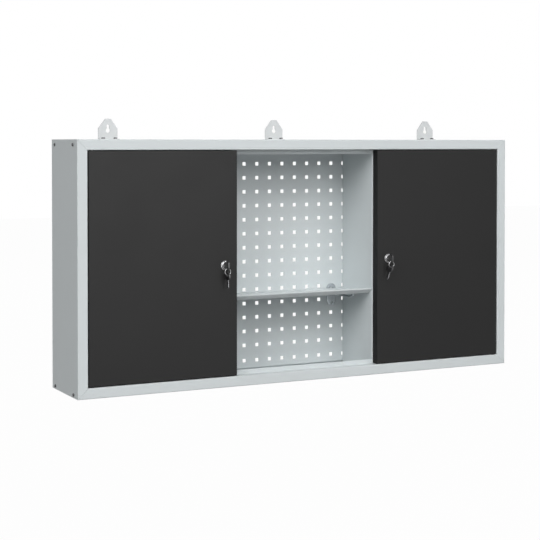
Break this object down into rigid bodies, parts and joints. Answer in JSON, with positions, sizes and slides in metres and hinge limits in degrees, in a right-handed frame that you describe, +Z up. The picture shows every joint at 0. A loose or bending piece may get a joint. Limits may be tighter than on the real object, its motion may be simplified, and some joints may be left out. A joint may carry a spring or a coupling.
{
  "type": "wall tool cabinet",
  "caption": "Wide, shallow steel wall cabinet: locked door bays beside an open bay with a pegboard back, a shelf and a hook, hung from keyhole brackets.",
  "frame": {"origin": "centre of the underside", "axes": "+X to the right seen from the front, +Y back to the wall, +Z up"},
  "size_m": [1.2052, 0.2166, 0.6513],
  "materials": {
    "grey_enamel": "light grey powder coat, fine and satin",
    "black_enamel": "charcoal powder coat, satin",
    "zinc_screw": "zinc plated",
    "zinc_hook": "zinc plated",
    "dark_steel": "blackened",
    "black_nylon": "moulded",
    "nickel": "nickel plated",
    "key_steel": "nickel plated",
    "key_plastic": "moulded, black"
  },
  "bodies": {
    "carcass": {"bottom_panel": "grey_enamel", "top_panel": "grey_enamel", "left_side_panel": "grey_enamel", "right_side_panel": "grey_enamel", "pegboard_panel": "grey_enamel", "left_back_panel": "grey_enamel", "right_back_panel": "grey_enamel", "left_partition": "grey_enamel", "right_partition": "grey_enamel", "middle_shelf": "grey_enamel", "left_hinge_pins": "dark_steel", "right_hinge_pins": "dark_steel", "left_hanger": "grey_enamel", "centre_hanger": "grey_enamel", "right_hanger": "grey_enamel", "hanger_screws": "zinc_screw", "hanger_nuts": "zinc_screw", "side_screws": "zinc_screw", "side_nuts": "zinc_screw"},
    "left_door_leaf": {"left_door": "black_enamel", "left_hinge_bushes": "black_nylon", "left_lock_body": "nickel", "left_lock_nut": "nickel"},
    "left_lock_barrel": {"left_lock_plug": "nickel", "left_lock_cam": "nickel", "left_cam_screw": "nickel"},
    "left_key": {"left_key_blade": "key_steel", "left_key_bow": "key_plastic"},
    "left_ring": {"left_key_ring": "key_steel"},
    "left_spare": {"left_spare_blade": "key_steel", "left_spare_bow": "key_plastic"},
    "right_door_leaf": {"right_door": "black_enamel", "right_hinge_bushes": "black_nylon", "right_lock_body": "nickel", "right_lock_nut": "nickel"},
    "right_lock_barrel": {"right_lock_plug": "nickel", "right_lock_cam": "nickel", "right_cam_screw": "nickel"},
    "right_key": {"right_key_blade": "key_steel", "right_key_bow": "key_plastic"},
    "right_ring": {"right_key_ring": "key_steel"},
    "right_spare": {"right_spare_blade": "key_steel", "right_spare_bow": "key_plastic"},
    "hook": {"pegboard_hook": "zinc_hook"}
  },
  "joints": [
    {"name": "left_door_hinge", "type": "hinge", "parent": "carcass", "child": "left_door_leaf", "pos_m": [-0.564, -0.088, 0.3], "axis": [0, 0, -1], "range_deg": [0, 110]},
    {"name": "left_lock_turn", "type": "hinge", "parent": "left_door_leaf", "child": "left_lock_barrel", "pos_m": [-0.227, -0.085, 0.296], "axis": [0, -1, 0], "range_deg": [0, 90]},
    {"name": "left_key_pull", "type": "slide", "parent": "left_lock_barrel", "child": "left_key", "axis": [0, -1, 0], "range_m": [0, 0.024]},
    {"name": "left_ring_swing", "type": "hinge", "parent": "left_key", "child": "left_ring", "pos_m": [-0.227, -0.1106, 0.28915], "axis": [1, 0, 0], "range_deg": [-60, 8]},
    {"name": "left_spare_swing", "type": "hinge", "parent": "left_ring", "child": "left_spare", "pos_m": [-0.227, -0.1106, 0.28165], "axis": [0, 1, 0], "range_deg": [-35, 35]},
    {"name": "right_door_hinge", "type": "hinge", "parent": "carcass", "child": "right_door_leaf", "pos_m": [0.564, -0.088, 0.3], "axis": [0, 0, 1], "range_deg": [0, 110]},
    {"name": "right_lock_turn", "type": "hinge", "parent": "right_door_leaf", "child": "right_lock_barrel", "pos_m": [0.234, -0.085, 0.296], "axis": [0, 1, 0], "range_deg": [0, 90]},
    {"name": "right_key_pull", "type": "slide", "parent": "right_lock_barrel", "child": "right_key", "axis": [0, -1, 0], "range_m": [0, 0.024]},
    {"name": "right_ring_swing", "type": "hinge", "parent": "right_key", "child": "right_ring", "pos_m": [0.234, -0.1106, 0.28915], "axis": [1, 0, 0], "range_deg": [-60, 8]},
    {"name": "right_spare_swing", "type": "hinge", "parent": "right_ring", "child": "right_spare", "pos_m": [0.234, -0.1106, 0.28165], "axis": [0, 1, 0], "range_deg": [-54, 21]},
    {"name": "hook_lift", "type": "slide", "parent": "carcass", "child": "hook", "axis": [0, 0, 1], "range_m": [0, 0.003]}
  ]
}
